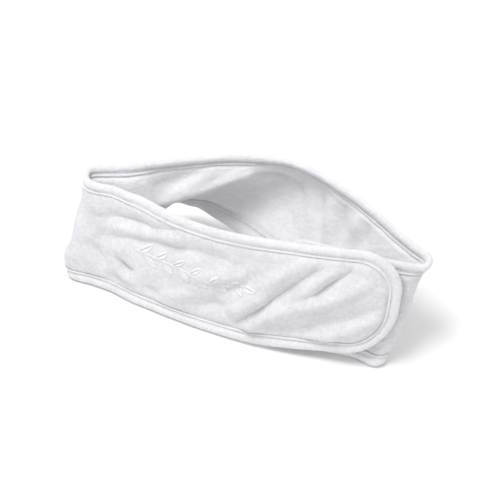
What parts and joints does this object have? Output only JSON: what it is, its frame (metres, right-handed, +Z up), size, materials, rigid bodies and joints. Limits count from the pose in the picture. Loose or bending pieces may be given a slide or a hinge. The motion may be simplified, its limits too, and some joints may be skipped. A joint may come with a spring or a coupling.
{
  "type": "spa headband",
  "caption": "Wide towelling headband with bound, topstitched edges; one strip closed into a loop by a rounded hook-and-loop tab that overlaps the tucked-in end.",
  "frame": {"origin": "middle of the footprint, on the surface that the lower edge stands on", "axes": "+Z up from the lower edge to the upper edge, +X along the front from the left fold to the closure end, front facing -Y"},
  "size_m": [0.2747, 0.1166, 0.0941],
  "materials": {
    "terry": "short cotton pile, matt, white",
    "lining": "short cotton pile, matt, white",
    "binding": "turned and stitched towelling hem, matt, white",
    "cotton_thread": "white cotton sewing thread",
    "satin_thread": "pale grey satin embroidery thread, slight sheen",
    "hook_tape": "white woven nylon hook tape",
    "loop_tape": "white brushed nylon loop tape"
  },
  "bodies": {
    "rear": {"rear_outer_panel": "terry", "rear_lining_panel": "lining", "rear_lower_binding": "binding", "rear_upper_binding": "binding", "rear_lower_topstitch": "cotton_thread", "rear_upper_topstitch": "cotton_thread"},
    "front": {"front_outer_panel": "terry", "front_lining_panel": "lining", "front_lower_binding": "binding", "front_upper_binding": "binding", "front_lower_topstitch": "cotton_thread", "front_upper_topstitch": "cotton_thread", "embroidered_motif": "satin_thread"},
    "tucked_end": {"tucked_end_outer_panel": "terry", "tucked_end_lining_panel": "lining", "tucked_end_binding": "binding", "tucked_end_topstitch": "cotton_thread", "loop_patch": "loop_tape"},
    "closure_tab": {"closure_tab_outer_panel": "terry", "closure_tab_lining_panel": "lining", "closure_tab_binding": "binding", "closure_tab_topstitch": "cotton_thread", "hook_patch": "hook_tape"}
  },
  "joints": [
    {"name": "loop_opening", "type": "hinge", "parent": "rear", "child": "front", "pos_m": [-0.13761, -0.02638, 0.04419], "axis": [0.0112, -0.3246, -0.9458], "range_deg": [0, 110]},
    {"name": "end_swing", "type": "hinge", "parent": "rear", "child": "tucked_end", "pos_m": [0.127, -0.0214, 0.03985], "axis": [0.258, 0.4375, 0.8614], "range_deg": [0, 110]},
    {"name": "tab_peel", "type": "hinge", "parent": "front", "child": "closure_tab", "pos_m": [0.06586, -0.04111, 0.05043], "axis": [-0.0232, -0.2919, -0.9562], "range_deg": [0, 110]}
  ],
  "couplings": [
    {"joint": "end_swing", "follows": "loop_opening", "ratio": 1}
  ]
}
